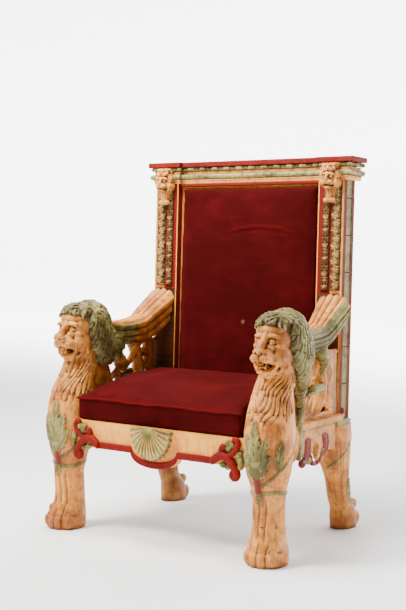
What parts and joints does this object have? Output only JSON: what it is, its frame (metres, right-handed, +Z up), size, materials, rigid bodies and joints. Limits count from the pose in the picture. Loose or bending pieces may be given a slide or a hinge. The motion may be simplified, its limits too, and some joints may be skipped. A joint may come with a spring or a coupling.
{
  "type": "ceremonial armchair",
  "caption": "Carved and painted throne armchair: lion front legs, winged arms on pierced scrollwork, pilaster back with cornice, velvet seat and back.",
  "frame": {"origin": "on the floor, in the middle of the chair's width and depth", "axes": "+Z up, the chair faces -Y, +X towards the left hand of the person who sits in it, which is the viewer's right from the front"},
  "size_m": [1.0892, 0.765, 1.42],
  "materials": {
    "peach_paint": "old peach paint over carved wood, chipped to brown in the hollows and edges",
    "green_paint": "grey-green paint over carved wood, rubbed pale on the high spots",
    "red_paint": "brick red satin paint with small chips",
    "cream_paint": "cream to peach satin paint with fine scratches",
    "bare_wood": "dark unpainted wood",
    "velvet": "deep crimson pile velvet, worn paler on the crown and edges"
  },
  "bodies": {
    "root": {"arm_panel_left": "peach_paint", "arm_panel_right": "peach_paint", "back_board": "cream_paint", "back_cushion": "velvet", "back_leg_left": "peach_paint", "back_leg_right": "peach_paint", "back_post_left": "red_paint", "back_post_right": "red_paint", "bead_moulding": "green_paint", "corbel_left": "peach_paint", "corbel_right": "peach_paint", "fascia_board": "cream_paint", "frieze_board": "cream_paint", "front_rail": "cream_paint", "front_rail_moulding": "red_paint", "front_scroll_left": "red_paint", "front_scroll_right": "red_paint", "front_shell": "green_paint", "inner_strip_left": "green_paint", "inner_strip_right": "green_paint", "leaf_torus": "green_paint", "lintel": "red_paint", "lion_leg_left": "peach_paint", "lion_leg_right": "peach_paint", "outer_strip_left": "green_paint", "outer_strip_right": "green_paint", "post_base_left": "green_paint", "post_base_right": "green_paint", "rear_rail": "bare_wood", "seat_board": "bare_wood", "seat_cushion": "velvet", "side_rail_left": "peach_paint", "side_rail_right": "peach_paint", "side_shelf_left": "peach_paint", "side_shelf_right": "peach_paint", "top_board": "red_paint", "wing_left": "peach_paint", "wing_right": "peach_paint"}
  },
  "joints": []
}
